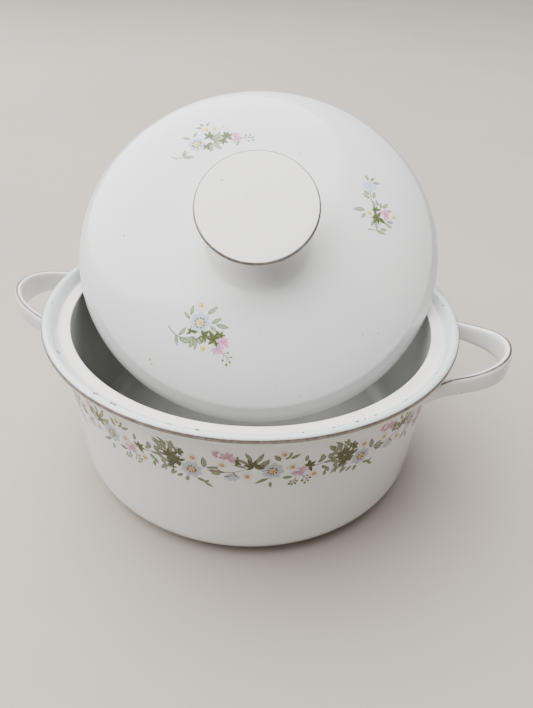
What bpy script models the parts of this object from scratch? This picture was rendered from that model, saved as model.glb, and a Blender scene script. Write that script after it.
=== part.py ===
"""Covered casserole dish in glazed porcelain: a round bowl with two strap handles, and its domed lid with a
broad flat knob. The lid is off its seat, leaning in the bowl's mouth with its low edge inside the bowl.

Metres, +Z up. The origin is on the bowl's axis, on the plane the foot ring stands on, and the two handles lie
along X."""

import math

import bmesh
import bpy
from mathutils import Matrix, Vector

# Bowl: radii and heights.
# A pull is a handle of a Bezier curve: a (radius, height) point, or one coordinate of it.
RIM = (0.1050, 0.0870)
LIP_CREST = (0.1028, 0.0890)
LIP_CREST_OUTER_PULL = 0.1044
LIP_CREST_INNER_PULL = 0.1014
RIM_UPPER_PULL = (0.1051, 0.0880)
RIM_LOWER_PULL = (0.1050, 0.0862)
LIP_INNER = (0.0994, 0.0864)
LIP_INNER_PULL = (0.1004, 0.0877)
SEAT_INNER_RADIUS = 0.0921
SEAT_OUTER_RADIUS = 0.0977
SEAT_HEIGHT = 0.0842
SEAT_EDGE_ROUNDING = 0.0008
SEAT_STEP_PULLS = ((0.0982, 0.0845), (0.0987, 0.0855))
LIP_UNDERSIDE = (0.1043, 0.0846)
LIP_UNDERSIDE_PULL = (0.1049, 0.0851)
COVE_FOOT = (0.0967, 0.0765)
COVE_PULLS = ((0.1018, 0.0828), (0.0972, 0.0826))
WALL_RADIUS_AT_BASE = 0.0926
WALL_THICKNESS = 0.0046
BASE_HEIGHT = 0.0018
FLOOR_HEIGHT = 0.0064
OUTER_CORNER_RADIUS = 0.0122
INNER_CORNER_RADIUS = 0.0095
FOOT_OUTER_RADIUS = 0.0740
FOOT_INNER_RADIUS = 0.0695
FOOT_SLOPE = 0.0012
FOOT_RECESS_HEIGHT = 0.0024

# Strap handles: a band on edge, bent round a loop. Each arm runs out of a flare that hugs the wall.
# A band is its middle height and half its height.
FLARE_RADIUS = 0.0935
FLARE_ANGLE = math.radians(31.0)
FLARE_PULL = 0.0120
ARM_START = (0.1062, 0.0264)
ARM_DIRECTION = math.radians(-26.0)
ARM_INNER_PULL = 0.0100
ARM_OUTER_PULL = 0.0111
LOOP_REACH = 0.1305
LOOP_PULL = 0.0155
FLARE_BAND = (0.0694, 0.0029)
ARM_BAND = (0.0729, 0.0047)
LOOP_BAND = (0.0758, 0.0067)
STRAP_HALF_THICKNESS = 0.0021
FLARE_HALF_THICKNESS = 0.0016
STRAP_ROUNDNESS = 3.2

# Lid, in its own frame: axis +Z, with the plane of its edge at z = 0.
LID_EDGE_RADIUS = 0.0966
LID_EDGE_PULL = 0.0048
LID_SHOULDER = (0.0910, 0.0096)
LID_SHOULDER_LOWER_PULL = (0.0031, -0.0022)
LID_SHOULDER_UPPER_PULL = (-0.0190, 0.0122)
LID_CROWN_PULL = 0.0400
LID_DOME_HEIGHT = 0.0236
LID_THICKNESS = 0.0044
# How far the shoulder moves in and down for each metre that the dome's inside lies below its outside.
SHOULDER_INSET = (0.80, 0.62)
KNOB_RADIUS = 0.0305
KNOB_TOP_HEIGHT = 0.0434
KNOB_CROWN = 0.0006
KNOB_CROWN_PULLS = (0.0120, 0.0220)
KNOB_CROWN_EDGE_RISE = 0.0003
KNOB_TOP_BAND = 0.0012
KNOB_RIM_DROP = 0.0018
KNOB_RIM_PULLS = (0.0004, 0.0006)
KNOB_UNDERSIDE_PULL = (0.0296, 0.0378)
KNOB_NECK = (0.0148, 0.0322)
KNOB_NECK_PULL = 0.0270
KNOB_FLARE_RADIUS = 0.0215
KNOB_FLARE_PULL = (0.0165, 0.0010)
KNOB_SEAT_RADII = (0.0170, 0.0110, 0.0055)

# How the lid leans in the bowl's mouth.
LID_TILT = math.radians(39.3)
LID_TURN = math.radians(7.7)
LID_CENTRE = Vector((-0.0036, 0.0283, 0.1066))

GAP = 0.0003
TURNED_STEPS = 56
STRAP_SIDES = 14
CUTTER_TOP = 0.1050
CUTTER_BOTTOM = 0.0500
POLE_MERGE_DISTANCE = 0.00005

BOWL_ROUGHNESS = 0.12
LID_ROUGHNESS = 0.10
KNOB_ROUGHNESS = 0.14
CUTTER_ROUGHNESS = 0.50

GLAZE_WHITE = (0.80, 0.79, 0.77, 1.0)
GLAZE_COOL = (0.76, 0.78, 0.78, 1.0)
KNOB_WHITE = (0.78, 0.76, 0.73, 1.0)


# Curves

def bezier(start, pull_out, pull_in, end, count):
    """Points of a cubic curve after its start, up to and including its end."""
    corners = [Vector(point) for point in (start, pull_out, pull_in, end)]
    points = []
    for step in range(1, count + 1):
        t = step / count
        weights = ((1 - t) ** 3, 3 * t * (1 - t) ** 2, 3 * t ** 2 * (1 - t), t ** 3)
        points.append(sum((w * c for w, c in zip(weights, corners)), Vector((0.0,) * len(start))))
    return points


def arc(centre, radius, start, end, count):
    """Points of a circular arc in the profile plane, both ends included, with the angles in radians."""
    angles = [start + (end - start) * step / count for step in range(count + 1)]
    return [Vector((centre[0] + radius * math.cos(a), centre[1] + radius * math.sin(a))) for a in angles]


def wall_corner(base_radius, top, floor, radius, count):
    """The rounded corner between a tapered wall and a flat floor, from the wall down to the floor."""
    slope = math.atan2(top[0] - base_radius, top[1] - floor)
    centre_height = floor + radius
    wall_at_centre = base_radius + math.tan(slope) * radius
    centre = (wall_at_centre - radius / math.cos(slope), centre_height)
    return arc(centre, radius, -slope, -math.pi / 2, count)


# Objects

def clear_scene():
    for thing in list(bpy.data.objects):
        bpy.data.objects.remove(thing)


def new_collection(name):
    collection = bpy.data.collections.new(name)
    bpy.context.scene.collection.children.link(collection)
    return collection


def principled(name, colour, roughness, metallic=0.0):
    material = bpy.data.materials.new(name)
    material.use_nodes = True
    shader = material.node_tree.nodes["Principled BSDF"]
    shader.inputs["Base Color"].default_value = colour
    shader.inputs["Roughness"].default_value = roughness
    shader.inputs["Metallic"].default_value = metallic
    material.diffuse_color = colour
    return material


def add_object(name, mesh, collection, material):
    thing = bpy.data.objects.new(name, mesh)
    collection.objects.link(thing)
    mesh.materials.append(material)
    return thing


def turned(name, profile, collection, material):
    """A solid of revolution about Z from a profile that ends on the axis at both ends."""
    mesh = bpy.data.meshes.new(name)
    edges = [(i, i + 1) for i in range(len(profile) - 1)]
    mesh.from_pydata([(point[0], 0.0, point[1]) for point in profile], edges, [])
    thing = add_object(name, mesh, collection, material)
    screw = thing.modifiers.new("Turn", "SCREW")
    screw.steps = TURNED_STEPS
    screw.render_steps = TURNED_STEPS
    screw.use_merge_vertices = True
    screw.merge_threshold = POLE_MERGE_DISTANCE
    screw.use_smooth_shade = True
    return thing


# Bowl

def bowl_outer_side():
    """The bowl's outside from the crest of its lip down to the start of its flat underside."""
    points = [Vector(LIP_CREST)]
    points += bezier(LIP_CREST, (LIP_CREST_OUTER_PULL, LIP_CREST[1]), RIM_UPPER_PULL, RIM, 4)
    points += bezier(RIM, RIM_LOWER_PULL, LIP_UNDERSIDE_PULL, LIP_UNDERSIDE, 3)
    points += bezier(LIP_UNDERSIDE, *COVE_PULLS, COVE_FOOT, 6)
    points += wall_corner(WALL_RADIUS_AT_BASE, COVE_FOOT, BASE_HEIGHT, OUTER_CORNER_RADIUS, 8)
    return points


def bowl_inner_side():
    """The bowl's inside from the axis at the floor up the wall, over the seat and onto the crest of the lip."""
    inner_base = WALL_RADIUS_AT_BASE - WALL_THICKNESS
    inner_top = (SEAT_INNER_RADIUS, COVE_FOOT[1])
    corner = wall_corner(inner_base, inner_top, FLOOR_HEIGHT, INNER_CORNER_RADIUS, 6)
    seat_edge = (SEAT_INNER_RADIUS, SEAT_HEIGHT - SEAT_EDGE_ROUNDING)
    points = [Vector((0.0, FLOOR_HEIGHT))]
    points += reversed(corner)
    points += [Vector(inner_top), Vector(seat_edge)]
    points += [Vector((SEAT_INNER_RADIUS + SEAT_EDGE_ROUNDING, SEAT_HEIGHT))]
    points += [Vector((SEAT_OUTER_RADIUS, SEAT_HEIGHT))]
    points += bezier((SEAT_OUTER_RADIUS, SEAT_HEIGHT), *SEAT_STEP_PULLS, LIP_INNER, 3)
    points += bezier(LIP_INNER, LIP_INNER_PULL, (LIP_CREST_INNER_PULL, LIP_CREST[1]), LIP_CREST, 4)
    return points


def foot_side():
    """The foot ring and the recess inside it, out to the axis under the bowl."""
    return [
        Vector((FOOT_OUTER_RADIUS + FOOT_SLOPE, BASE_HEIGHT)),
        Vector((FOOT_OUTER_RADIUS, 0.0)),
        Vector((FOOT_INNER_RADIUS, 0.0)),
        Vector((FOOT_INNER_RADIUS - FOOT_SLOPE, FOOT_RECESS_HEIGHT)),
        Vector((0.0, FOOT_RECESS_HEIGHT)),
    ]


def make_bowl(collection):
    profile = bowl_inner_side()[:-1] + bowl_outer_side() + foot_side()
    return turned("bowl", profile, collection, principled("bowl_porcelain", GLAZE_COOL, BOWL_ROUGHNESS))


def make_bowl_envelope(collection):
    """A cutter a gap larger than the bowl's outside, solid through, that shapes the handles' roots."""
    outside = [point + Vector((GAP, 0.0)) for point in bowl_outer_side() if point[1] > CUTTER_BOTTOM]
    crest = outside[0]
    top = [Vector((0.0, CUTTER_TOP)), Vector((crest[0], CUTTER_TOP))]
    bottom = [Vector((outside[-1][0], CUTTER_BOTTOM)), Vector((0.0, CUTTER_BOTTOM))]
    material = principled("cutter", GLAZE_COOL, CUTTER_ROUGHNESS)
    cutter = turned("bowl_envelope", top + outside + bottom, collection, material)
    cutter.hide_render = True
    cutter.display_type = "WIRE"
    return cutter


# Handles

def strap_half_path():
    """Centreline of one arm in plan, from inside the wall out to the middle of the loop."""
    angle = FLARE_ANGLE
    root = Vector((FLARE_RADIUS * math.cos(angle), FLARE_RADIUS * math.sin(angle)))
    along_wall = Vector((math.sin(angle), -math.cos(angle)))
    arm = Vector(ARM_START)
    outward = Vector((math.cos(ARM_DIRECTION), math.sin(ARM_DIRECTION)))
    tip = Vector((LOOP_REACH, 0.0))
    flare = bezier(root, root + FLARE_PULL * along_wall, arm - ARM_INNER_PULL * outward, arm, 8)
    loop = bezier(arm, arm + ARM_OUTER_PULL * outward, tip + Vector((0.0, LOOP_PULL)), tip, 10)
    return [root] + flare, loop


def blend(first, second, share):
    smooth = share * share * (3.0 - 2.0 * share)
    return first + (second - first) * smooth


def strap_stations():
    """(point, band centre height, half height, half thickness) along one arm, root first."""
    flare, loop = strap_half_path()
    stations = []
    for index, point in enumerate(flare):
        share = index / (len(flare) - 1)
        height = blend(FLARE_BAND[0], ARM_BAND[0], share)
        half_height = blend(FLARE_BAND[1], ARM_BAND[1], share)
        stations.append((point, height, half_height, blend(FLARE_HALF_THICKNESS, STRAP_HALF_THICKNESS, share)))
    for index, point in enumerate(loop, start=1):
        share = index / len(loop)
        height = blend(ARM_BAND[0], LOOP_BAND[0], share)
        half_height = blend(ARM_BAND[1], LOOP_BAND[1], share)
        stations.append((point, height, half_height, STRAP_HALF_THICKNESS))
    return stations


def strap_sections():
    """Rounded sections of the whole loop, each a ring of points that stands upright across the band."""
    half = strap_stations()
    mirrored = [(Vector((point[0], -point[1])), *sizes) for point, *sizes in half[-2::-1]]
    stations = half + mirrored
    rings = []
    for index, (point, height, half_height, half_thickness) in enumerate(stations):
        before = stations[max(index - 1, 0)][0]
        after = stations[min(index + 1, len(stations) - 1)][0]
        direction = (after - before).normalized()
        across = Vector((-direction[1], direction[0]))
        ring = []
        for side in range(STRAP_SIDES):
            angle = 2.0 * math.pi * side / STRAP_SIDES
            wide = math.copysign(abs(math.cos(angle)) ** (2.0 / STRAP_ROUNDNESS), math.cos(angle))
            tall = math.copysign(abs(math.sin(angle)) ** (2.0 / STRAP_ROUNDNESS), math.sin(angle))
            place = point + across * (wide * half_thickness)
            ring.append(Vector((place[0], place[1], height + tall * half_height)))
        rings.append(ring)
    return rings


def lofted(name, rings, collection, material):
    """A closed body through rings of equal length, with flat ends."""
    form = bmesh.new()
    made = [[form.verts.new(point) for point in ring] for ring in rings]
    sides = len(rings[0])
    for near, far in zip(made, made[1:]):
        for side in range(sides):
            after = (side + 1) % sides
            form.faces.new((near[side], near[after], far[after], far[side]))
    form.faces.new(made[0])
    form.faces.new(made[-1])
    bmesh.ops.recalc_face_normals(form, faces=form.faces)
    mesh = bpy.data.meshes.new(name)
    form.to_mesh(mesh)
    form.free()
    mesh.shade_smooth()
    return add_object(name, mesh, collection, material)


def make_handle(name, turn, collection, envelope):
    material = principled(name + "_porcelain", GLAZE_COOL, BOWL_ROUGHNESS)
    handle = lofted(name, strap_sections(), collection, material)
    handle.rotation_euler.z = turn
    cut = handle.modifiers.new("Meet the wall", "BOOLEAN")
    cut.operation = "DIFFERENCE"
    cut.solver = "EXACT"
    cut.object = envelope
    return handle


# Lid

def lid_outside(inset):
    """The lid's outer curve from its edge up to the axis, or the same curve moved inwards by inset."""
    edge = (LID_EDGE_RADIUS - inset, 0.0)
    shoulder = (LID_SHOULDER[0] - inset * SHOULDER_INSET[0], LID_SHOULDER[1] - inset * SHOULDER_INSET[1])
    below = (shoulder[0] + LID_SHOULDER_LOWER_PULL[0], shoulder[1] + LID_SHOULDER_LOWER_PULL[1])
    above = (LID_SHOULDER[0] + LID_SHOULDER_UPPER_PULL[0], shoulder[1] + LID_SHOULDER_UPPER_PULL[1])
    crown = (0.0, LID_DOME_HEIGHT - inset)
    points = [Vector(edge)]
    points += bezier(edge, (edge[0], LID_EDGE_PULL), below, shoulder, 6)
    points += bezier(shoulder, above, (LID_CROWN_PULL, crown[1]), crown, 12)
    return points


def height_on_dome(radius):
    """Height of the lid's outer curve at a radius."""
    curve = lid_outside(0.0)
    for outer, inner in zip(curve, curve[1:]):
        if inner[0] <= radius <= outer[0] and outer[0] > inner[0]:
            share = (outer[0] - radius) / (outer[0] - inner[0])
            return outer[1] + share * (inner[1] - outer[1])
    return curve[-1][1]


def make_lid_dome(collection):
    outside = lid_outside(0.0)
    inside = lid_outside(LID_THICKNESS)
    profile = list(reversed(outside)) + inside
    return turned("lid_dome", profile, collection, principled("lid_porcelain", GLAZE_WHITE, LID_ROUGHNESS))


def make_lid_knob(collection):
    shoulder = (KNOB_RADIUS, KNOB_TOP_HEIGHT - KNOB_RIM_DROP)
    crown = (0.0, KNOB_TOP_HEIGHT + KNOB_CROWN)
    crown_edge_pull = (KNOB_CROWN_PULLS[1], KNOB_TOP_HEIGHT + KNOB_CROWN_EDGE_RISE)
    top_edge = (KNOB_RADIUS - KNOB_TOP_BAND, KNOB_TOP_HEIGHT)
    rim_upper_pull = (KNOB_RADIUS - KNOB_RIM_PULLS[0], KNOB_TOP_HEIGHT)
    rim_lower_pull = (KNOB_RADIUS, KNOB_TOP_HEIGHT - KNOB_RIM_PULLS[1])
    foot = (KNOB_FLARE_RADIUS, height_on_dome(KNOB_FLARE_RADIUS) + GAP)
    profile = [Vector(crown)]
    profile += bezier(crown, (KNOB_CROWN_PULLS[0], crown[1]), crown_edge_pull, top_edge, 4)
    profile += bezier(top_edge, rim_upper_pull, rim_lower_pull, shoulder, 3)
    profile += bezier(shoulder, KNOB_UNDERSIDE_PULL, (KNOB_NECK[0], KNOB_UNDERSIDE_PULL[1]), KNOB_NECK, 8)
    foot_pull = (KNOB_FLARE_PULL[0], foot[1] + KNOB_FLARE_PULL[1])
    profile += bezier(KNOB_NECK, (KNOB_NECK[0], KNOB_NECK_PULL), foot_pull, foot, 6)
    for radius in KNOB_SEAT_RADII:
        profile.append(Vector((radius, height_on_dome(radius) + GAP)))
    profile.append(Vector((0.0, LID_DOME_HEIGHT + GAP)))
    return turned("lid_knob", profile, collection, principled("knob_porcelain", KNOB_WHITE, KNOB_ROUGHNESS))


def lean(pieces, collection):
    """Hangs the lid's pieces on an empty at the middle of its edge plane and leans it in the bowl's mouth."""
    pose = bpy.data.objects.new("lid_pose", None)
    collection.objects.link(pose)
    turn = Matrix.Rotation(LID_TURN, 4, "Z")
    tilt = Matrix.Rotation(LID_TILT, 4, "X")
    pose.matrix_world = Matrix.Translation(LID_CENTRE) @ turn @ tilt
    for piece in pieces:
        piece.parent = pose


def main():
    clear_scene()
    parts = new_collection("covered_casserole_dish")
    cutters = new_collection("cutters")
    make_bowl(parts)
    envelope = make_bowl_envelope(cutters)
    make_handle("handle_right", 0.0, parts, envelope)
    make_handle("handle_left", math.pi, parts, envelope)
    lean([make_lid_dome(parts), make_lid_knob(parts)], parts)


main()
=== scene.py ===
import random
from math import atan2, copysign, cos, hypot, pi, radians, sin, sqrt, tan, tau

import bpy
from mathutils import Matrix, Vector


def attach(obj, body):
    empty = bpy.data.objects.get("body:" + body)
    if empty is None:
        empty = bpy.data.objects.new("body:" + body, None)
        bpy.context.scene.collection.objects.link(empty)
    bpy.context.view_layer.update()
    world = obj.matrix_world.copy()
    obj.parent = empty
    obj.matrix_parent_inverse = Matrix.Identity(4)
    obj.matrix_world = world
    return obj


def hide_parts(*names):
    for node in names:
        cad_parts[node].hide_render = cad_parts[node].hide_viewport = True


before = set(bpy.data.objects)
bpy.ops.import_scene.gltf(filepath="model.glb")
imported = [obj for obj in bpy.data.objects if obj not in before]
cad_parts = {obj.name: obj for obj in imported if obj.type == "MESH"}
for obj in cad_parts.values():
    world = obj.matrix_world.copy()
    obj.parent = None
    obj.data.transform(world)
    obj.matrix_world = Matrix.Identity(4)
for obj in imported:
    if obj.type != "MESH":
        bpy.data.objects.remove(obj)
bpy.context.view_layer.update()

# Profiles of the dish in metres: the same shapes as the CAD solids, drawn with finer steps.
# Bowl.
RIM = (0.1050, 0.0870)
LIP_CREST = (0.1028, 0.0890)
LIP_CREST_PULL = 0.0016
RIM_UPPER_PULL = (0.1051, 0.0880)
RIM_LOWER_PULL = (0.1050, 0.0862)
LIP_UNDERSIDE = (0.1043, 0.0846)
LIP_UNDERSIDE_PULL = (0.1049, 0.0851)
COVE_UPPER_PULL = (0.1018, 0.0828)
COVE_LOWER_PULL = (0.0972, 0.0826)
COVE_FOOT = (0.0967, 0.0765)
LIP_INNER = (0.0994, 0.0864)
LIP_INNER_PULL = (0.1004, 0.0877)
LIP_TOP_PULL = 0.0014
SEAT_INNER_RADIUS = 0.0921
SEAT_OUTER_RADIUS = 0.0977
SEAT_HEIGHT = 0.0842
SEAT_EDGE_ROUNDING = 0.0008
SEAT_STEP_PULLS = ((0.0982, 0.0845), (0.0987, 0.0855))
WALL_RADIUS_AT_BASE = 0.0926
WALL_THICKNESS = 0.0046
BASE_HEIGHT = 0.0018
FLOOR_HEIGHT = 0.0064
OUTER_CORNER_RADIUS = 0.0122
INNER_CORNER_RADIUS = 0.0095
FOOT_OUTER_RADIUS = 0.0740
FOOT_INNER_RADIUS = 0.0695
FOOT_SLOPE = 0.0012
FOOT_RECESS_HEIGHT = 0.0024
FOOT_ROUNDING = 0.0006
FOOT_EDGE_STEPS = 4
FOOT_FLAT_STEPS = 3

# Strap handles.
FLARE_RADIUS = 0.0935
FLARE_ANGLE = radians(31.0)
FLARE_PULL = 0.0120
ARM_START = (0.1062, 0.0264)
ARM_DIRECTION = radians(-26.0)
ARM_INNER_PULL = 0.0100
ARM_OUTER_PULL = 0.0111
LOOP_REACH = 0.1305
LOOP_PULL = 0.0155
FLARE_BAND = (0.0694, 0.0029)
ARM_BAND = (0.0729, 0.0047)
LOOP_BAND = (0.0758, 0.0067)
STRAP_HALF_THICKNESS = 0.0021
FLARE_HALF_THICKNESS = 0.0016
STRAP_ROUNDNESS = 3.2
STRAP_SIDES = 40
STRAP_STEPS = 28
STRAP_LINE_MARGIN = 6
STRAP_LINE_ANGLES = (71.0, 76.4, 81.6, 86.2, 89.86)

# Lid and knob, in the lid's own frame.
LID_EDGE_RADIUS = 0.0966
LID_EDGE_PULL = 0.0048
LID_SHOULDER = (0.0913, 0.0099)
LID_SHOULDER_PULL = (0.0027, -0.0032)
LID_SIDE_PULL = (0.0720, 0.0119)
LID_CROWN_PULL = 0.0400
LID_DOME_HEIGHT = 0.0236
LID_THICKNESS = 0.0044
LID_EDGE_ROUNDING = 0.0007
LID_BARE_STEPS = 11
SHOULDER_INSET = (0.80, 0.62)
KNOB_RADIUS = 0.0305
KNOB_TOP_HEIGHT = 0.0434
KNOB_CROWN = 0.0006
KNOB_CROWN_PULLS = (0.0120, 0.0220)
KNOB_CROWN_EDGE_RISE = 0.0003
KNOB_RIM_PULLS = (0.0004, 0.0006)
KNOB_TOP_STEPS = 14
KNOB_RIM_STEPS = 8
KNOB_SUNK = (0.0004, 0.0006)
KNOB_RIM_DROP = 0.0018
KNOB_TOP_BAND = 0.0012
KNOB_UNDERSIDE_PULL = (0.0296, 0.0378)
KNOB_NECK = (0.0148, 0.0322)
KNOB_NECK_PULL = 0.0270
KNOB_FLARE_RADIUS = 0.0215
KNOB_FLARE_PULL = (0.0165, 0.0010)
LID_TILT = radians(39.3)
LID_TURN = radians(7.7)
LID_CENTRE = Vector((-0.0036, 0.0283, 0.1066))
LID_PLACE = (
    Matrix.Translation(LID_CENTRE)
    @ Matrix.Rotation(LID_TURN, 4, "Z")
    @ Matrix.Rotation(LID_TILT, 4, "X")
)

TURNED_STEPS = 224
MM = 0.001

# The metal lines: half thickness in millimetres, and the part of the rim's profile that holds one.
RIM_LINE = 0.07
KNOB_LINE = 0.05
STRAP_LINE = 0.06
RIM_LINE_SPAN = slice(5, 12)


# Curves

def bezier(start, pull_out, pull_in, end, count):
    """Points of a cubic curve after its start, up to and including its end."""
    corners = [Vector(point) for point in (start, pull_out, pull_in, end)]
    points = []
    for step in range(1, count + 1):
        t = step / count
        weights = ((1 - t) ** 3, 3 * t * (1 - t) ** 2, 3 * t ** 2 * (1 - t), t ** 3)
        zero = Vector((0.0,) * len(start))
        points.append(sum((w * c for w, c in zip(weights, corners)), zero))
    return points


def wall_corner(base_radius, top, floor, radius, count):
    """The rounded corner between a tapered wall and a flat floor, from the wall down."""
    slope = atan2(top[0] - base_radius, top[1] - floor)
    centre = (base_radius + tan(slope) * radius - radius / cos(slope), floor + radius)
    angles = [-slope + (slope - pi / 2) * step / count for step in range(count + 1)]
    return [Vector((centre[0] + radius * cos(a), centre[1] + radius * sin(a)))
            for a in angles]


def along(start, end, count):
    """Points on a straight line after its start, up to and including its end."""
    return [Vector(start).lerp(Vector(end), step / count) for step in range(1, count + 1)]


def rim_profile():
    """Outside of the lip, from its crest round the rim and down the cove to the wall."""
    crest = (LIP_CREST[0] + LIP_CREST_PULL, LIP_CREST[1])
    points = [Vector(LIP_CREST)]
    points += bezier(LIP_CREST, crest, RIM_UPPER_PULL, RIM, 10)
    points += bezier(RIM, RIM_LOWER_PULL, LIP_UNDERSIDE_PULL, LIP_UNDERSIDE, 8)
    points += bezier(LIP_UNDERSIDE, COVE_UPPER_PULL, COVE_LOWER_PULL, COVE_FOOT, 14)
    return points


def wall_profile():
    """Outside of the bowl from the foot of the cove down to the start of its underside."""
    corner = wall_corner(WALL_RADIUS_AT_BASE, COVE_FOOT, BASE_HEIGHT, OUTER_CORNER_RADIUS, 14)
    return along(COVE_FOOT, corner[0], 14) + corner[1:]


def foot_profile():
    """The foot ring and the recess inside it, from its outer side to the axis."""
    outer = (FOOT_OUTER_RADIUS, FOOT_ROUNDING)
    inner = (FOOT_INNER_RADIUS, FOOT_ROUNDING)
    recess = (FOOT_INNER_RADIUS - FOOT_SLOPE, FOOT_RECESS_HEIGHT)
    points = [Vector((FOOT_OUTER_RADIUS + FOOT_SLOPE, BASE_HEIGHT)), Vector(outer)]
    corner = (outer[0], 0.0)
    points += bezier(outer, corner, corner, (outer[0] - FOOT_ROUNDING, 0.0), FOOT_EDGE_STEPS)
    points += along(points[-1], (inner[0] + FOOT_ROUNDING, 0.0), FOOT_FLAT_STEPS)
    corner = (inner[0], 0.0)
    points += bezier(points[-1], corner, corner, inner, FOOT_EDGE_STEPS)
    points += [Vector(recess)]
    return points + along(recess, (0.0, FOOT_RECESS_HEIGHT), 10)


def inside_profile():
    """Inside of the bowl from the axis up the wall to the edge of the lid's seat."""
    inner_top = (SEAT_INNER_RADIUS, COVE_FOOT[1])
    inner_base = WALL_RADIUS_AT_BASE - WALL_THICKNESS
    corner = wall_corner(inner_base, inner_top, FLOOR_HEIGHT, INNER_CORNER_RADIUS, 12)
    start = Vector((0.0, FLOOR_HEIGHT))
    edge = (SEAT_INNER_RADIUS, SEAT_HEIGHT - SEAT_EDGE_ROUNDING)
    points = [start] + along(start, corner[-1], 10)
    points += corner[-2::-1]
    return points + along(corner[0], inner_top, 10) + along(inner_top, edge, 3)


def seat_profile():
    """The lid's seat, from its rounded inner edge out to the foot of the lip."""
    edge = (SEAT_INNER_RADIUS, SEAT_HEIGHT - SEAT_EDGE_ROUNDING)
    flat = (SEAT_INNER_RADIUS + SEAT_EDGE_ROUNDING, SEAT_HEIGHT)
    corner = (SEAT_INNER_RADIUS, SEAT_HEIGHT)
    points = bezier(edge, corner, corner, flat, 5)
    return points + along(flat, (SEAT_OUTER_RADIUS, SEAT_HEIGHT), 5)


def lip_profile():
    """The glazed inner slope of the lip, from the seat up to the crest."""
    start = (SEAT_OUTER_RADIUS, SEAT_HEIGHT)
    top_pull = (LIP_CREST[0] - LIP_TOP_PULL, LIP_CREST[1])
    points = bezier(start, *SEAT_STEP_PULLS, LIP_INNER, 8)
    return points + bezier(LIP_INNER, LIP_INNER_PULL, top_pull, LIP_CREST, 10)


def lid_outside(inset):
    """The lid's outer curve from its edge up to the axis, or that curve moved in by inset."""
    edge = (LID_EDGE_RADIUS - inset, 0.0)
    shoulder = [place - inset * share for place, share in zip(LID_SHOULDER, SHOULDER_INSET)]
    below = (shoulder[0] + LID_SHOULDER_PULL[0], shoulder[1] + LID_SHOULDER_PULL[1])
    above = (LID_SIDE_PULL[0], shoulder[1] + LID_SIDE_PULL[1])
    crown = (0.0, LID_DOME_HEIGHT - inset)
    points = [Vector(edge)]
    points += bezier(edge, (edge[0], LID_EDGE_PULL), below, shoulder, 20)
    points += bezier(shoulder, above, (LID_CROWN_PULL, crown[1]), crown, 60)
    return points


def at_radius(curve, radius):
    """Height and slope of a falling curve of (radius, height) points at a radius."""
    for outer, inner in zip(curve, curve[1:]):
        if inner[0] <= radius <= outer[0] and outer[0] > inner[0]:
            share = (outer[0] - radius) / (outer[0] - inner[0])
            slope = (outer[1] - inner[1]) / (outer[0] - inner[0])
            return outer[1] + share * (inner[1] - outer[1]), slope
    return curve[-1][1], 0.0


def knob_profile():
    """The knob from the middle of its top round its edge and neck down to the dome."""
    crown = (0.0, KNOB_TOP_HEIGHT + KNOB_CROWN)
    top_edge = (KNOB_RADIUS - KNOB_TOP_BAND, KNOB_TOP_HEIGHT)
    shoulder = (KNOB_RADIUS, KNOB_TOP_HEIGHT - KNOB_RIM_DROP)
    foot_height = at_radius(lid_outside(0.0), KNOB_FLARE_RADIUS)[0]
    foot = (KNOB_FLARE_RADIUS, foot_height)
    low_pull = (KNOB_FLARE_PULL[0], foot_height + KNOB_FLARE_PULL[1])
    points = [Vector(crown)]
    pull_in = (KNOB_CROWN_PULLS[1], KNOB_TOP_HEIGHT + KNOB_CROWN_EDGE_RISE)
    points += bezier(crown, (KNOB_CROWN_PULLS[0], crown[1]), pull_in, top_edge, KNOB_TOP_STEPS)
    rim_pull = (KNOB_RADIUS - KNOB_RIM_PULLS[0], top_edge[1])
    side_pull = (KNOB_RADIUS, top_edge[1] - KNOB_RIM_PULLS[1])
    points += bezier(top_edge, rim_pull, side_pull, shoulder, KNOB_RIM_STEPS)
    neck_pull = (KNOB_NECK[0], KNOB_UNDERSIDE_PULL[1])
    points += bezier(shoulder, KNOB_UNDERSIDE_PULL, neck_pull, KNOB_NECK, 22)
    return points + bezier(KNOB_NECK, (KNOB_NECK[0], KNOB_NECK_PULL), low_pull, foot, 14)


DOME = lid_outside(0.0)
KNOB_TOP = list(reversed(knob_profile()[:KNOB_TOP_STEPS + 1]))
LIP = list(reversed(lip_profile()))


# Meshes

def add_object(name, data):
    thing = bpy.data.objects.new(name, data)
    bpy.context.scene.collection.objects.link(thing)
    return thing


def add_piece(name, verts, faces, materials, body, indices=None, normals=None):
    mesh = bpy.data.meshes.new(name)
    mesh.from_pydata(verts, [], faces)
    for material in materials:
        mesh.materials.append(material)
    if indices:
        mesh.polygons.foreach_set("material_index", indices)
    mesh.shade_smooth()
    if normals:
        mesh.normals_split_custom_set_from_vertices(normals)
    mesh.update()
    piece = add_object(name, mesh)
    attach(piece, body)
    return piece


def turned(profile, regions, place=None, closed=False):
    """Vertices, faces and material indices of a profile turned about Z.

    regions gives the material of each step of the profile.
    """
    verts = []
    rings = []
    for radius, height in profile:
        if radius < 1e-6:
            rings.append([len(verts)])
            verts.append(Vector((0.0, 0.0, height)))
            continue
        rings.append(list(range(len(verts), len(verts) + TURNED_STEPS)))
        for step in range(TURNED_STEPS):
            angle = tau * step / TURNED_STEPS
            verts.append(Vector((radius * cos(angle), radius * sin(angle), height)))
    faces = []
    indices = []
    pairs = list(zip(rings, rings[1:]))
    if closed:
        pairs.append((rings[-1], rings[0]))
    for (near, far), region in zip(pairs, regions):
        for step in range(TURNED_STEPS):
            after = (step + 1) % TURNED_STEPS
            if len(near) == 1:
                faces.append((near[0], far[after], far[step]))
            elif len(far) == 1:
                faces.append((near[step], near[after], far[0]))
            else:
                faces.append((near[step], near[after], far[after], far[step]))
            indices.append(region)
    if place is not None:
        verts = [place @ vert for vert in verts]
    return verts, faces, indices


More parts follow.
